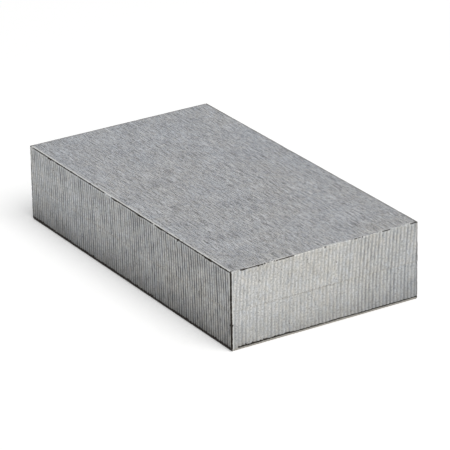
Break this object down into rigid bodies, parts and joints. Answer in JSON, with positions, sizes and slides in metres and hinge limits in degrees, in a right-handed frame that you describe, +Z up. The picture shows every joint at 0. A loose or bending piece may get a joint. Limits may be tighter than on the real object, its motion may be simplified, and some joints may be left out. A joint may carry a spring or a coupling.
{
  "type": "sharpening whetstone",
  "caption": "Rectangular two-layer sharpening stone with sawn sides, bonded from a fine upper slab and a coarse lower slab.",
  "frame": {"origin": "centre of the base face, where the stone rests on the bench", "axes": "+X along the length, +Y across the width, +Z up from the base to the fine working face"},
  "size_m": [0.09, 0.05, 0.019],
  "materials": {
    "fine_stone": "ground flat on top, sawn with upright scores on the sides",
    "coarse_stone": "sawn, with upright scores on the sides and chipped edges",
    "adhesive": "dark hardened adhesive with grit in it"
  },
  "bodies": {
    "root": {"fine_slab": "fine_stone", "bond_film": "adhesive", "coarse_slab": "coarse_stone"}
  },
  "joints": []
}
